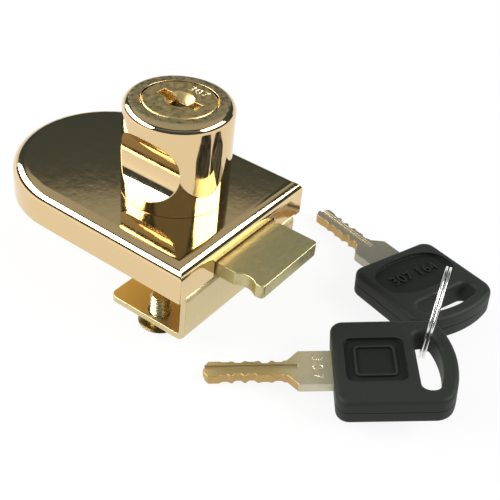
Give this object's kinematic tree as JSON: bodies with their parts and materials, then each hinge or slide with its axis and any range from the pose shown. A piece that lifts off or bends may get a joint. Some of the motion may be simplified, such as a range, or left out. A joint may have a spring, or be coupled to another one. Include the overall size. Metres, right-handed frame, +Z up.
{
  "type": "glass cabinet door lock",
  "caption": "Clamp-on lock for a glass cabinet door: gold-plated D-shaped case, pull knob with a keyed plug, sliding brass bolt, bent clamp plate with clamp screws, and two keys on a ring",
  "frame": {"origin": "on the knob axis, in the face of the pad that sits on the glass", "axes": "+X is the way the bolt comes out, +Z runs up the knob axis away from the glass, +Y completes the frame"},
  "size_m": [0.0919, 0.0542, 0.0361],
  "materials": {
    "plated_gold": "mirror-bright gold plating on a die casting",
    "satin_brass": "satin brass",
    "nickel_brass": "milled nickel-brass",
    "steel": "zinc-plated steel",
    "bright_steel": "bright spring steel",
    "black_plastic": "moulded black plastic",
    "amber_rubber": "thin amber pad"
  },
  "bodies": {
    "lock_case": {"housing": "plated_gold", "knob": "plated_gold", "clamp_plate": "plated_gold", "glass_pad": "amber_rubber", "back_plate_screws": "steel", "knob_screws": "steel"},
    "plug_set": {"plug": "plated_gold", "plug_circlip": "steel", "wafer_springs": "steel", "drive_cam": "steel", "drive_pin": "steel", "cam_screw": "steel"},
    "wafer_set_forward": {"wafers_forward": "satin_brass"},
    "wafer_set_backward": {"wafers_backward": "satin_brass"},
    "bolt_slide": {"bolt": "satin_brass"},
    "near_screw": {"clamp_screw_near": "satin_brass"},
    "far_screw": {"clamp_screw_far": "satin_brass"},
    "key_ring": {"split_ring": "bright_steel"},
    "key_1": {"key_1_blade": "nickel_brass", "key_1_head": "black_plastic"},
    "key_2": {"key_2_blade": "nickel_brass", "key_2_head": "black_plastic"}
  },
  "joints": [
    {"name": "plug_turn", "type": "hinge", "parent": "lock_case", "child": "plug_set", "pos_m": [0, 0, 0.015], "axis": [0, 0, 1], "range_deg": [-1, 91]},
    {"name": "bolt_throw", "type": "slide", "parent": "lock_case", "child": "bolt_slide", "axis": [1, 0, 0], "range_m": [-0.0095, 0]},
    {"name": "wafers_forward_travel", "type": "slide", "parent": "plug_set", "child": "wafer_set_forward", "axis": [1, 0, 0], "range_m": [0, 0.0006]},
    {"name": "wafers_backward_travel", "type": "slide", "parent": "plug_set", "child": "wafer_set_backward", "axis": [-1, 0, 0], "range_m": [0, 0.0006]},
    {"name": "clamp_screw_near_travel", "type": "slide", "parent": "lock_case", "child": "near_screw", "axis": [0, 0, 1], "range_m": [-0.0022, 0.0007]},
    {"name": "clamp_screw_far_travel", "type": "slide", "parent": "lock_case", "child": "far_screw", "axis": [0, 0, 1], "range_m": [-0.0022, 0.0007]},
    {"name": "key_ring_lift", "type": "slide", "parent": "lock_case", "child": "key_ring", "axis": [0, 0, 1], "range_m": [0, 0.04]},
    {"name": "key_1_swing", "type": "hinge", "parent": "key_ring", "child": "key_1", "pos_m": [0.04933, 0.00621, -0.0045], "axis": [0, 0, 1], "range_deg": [-8, 15]},
    {"name": "key_2_swing", "type": "hinge", "parent": "key_ring", "child": "key_2", "pos_m": [0.04519, 0.02, -0.0065], "axis": [0, 0, 1], "range_deg": [-6, 6]}
  ],
  "couplings": [
    {"joint": "plug_turn", "follows": "bolt_throw", "rad_per_m": -165.35},
    {"joint": "wafers_backward_travel", "follows": "wafers_forward_travel", "ratio": 1}
  ]
}
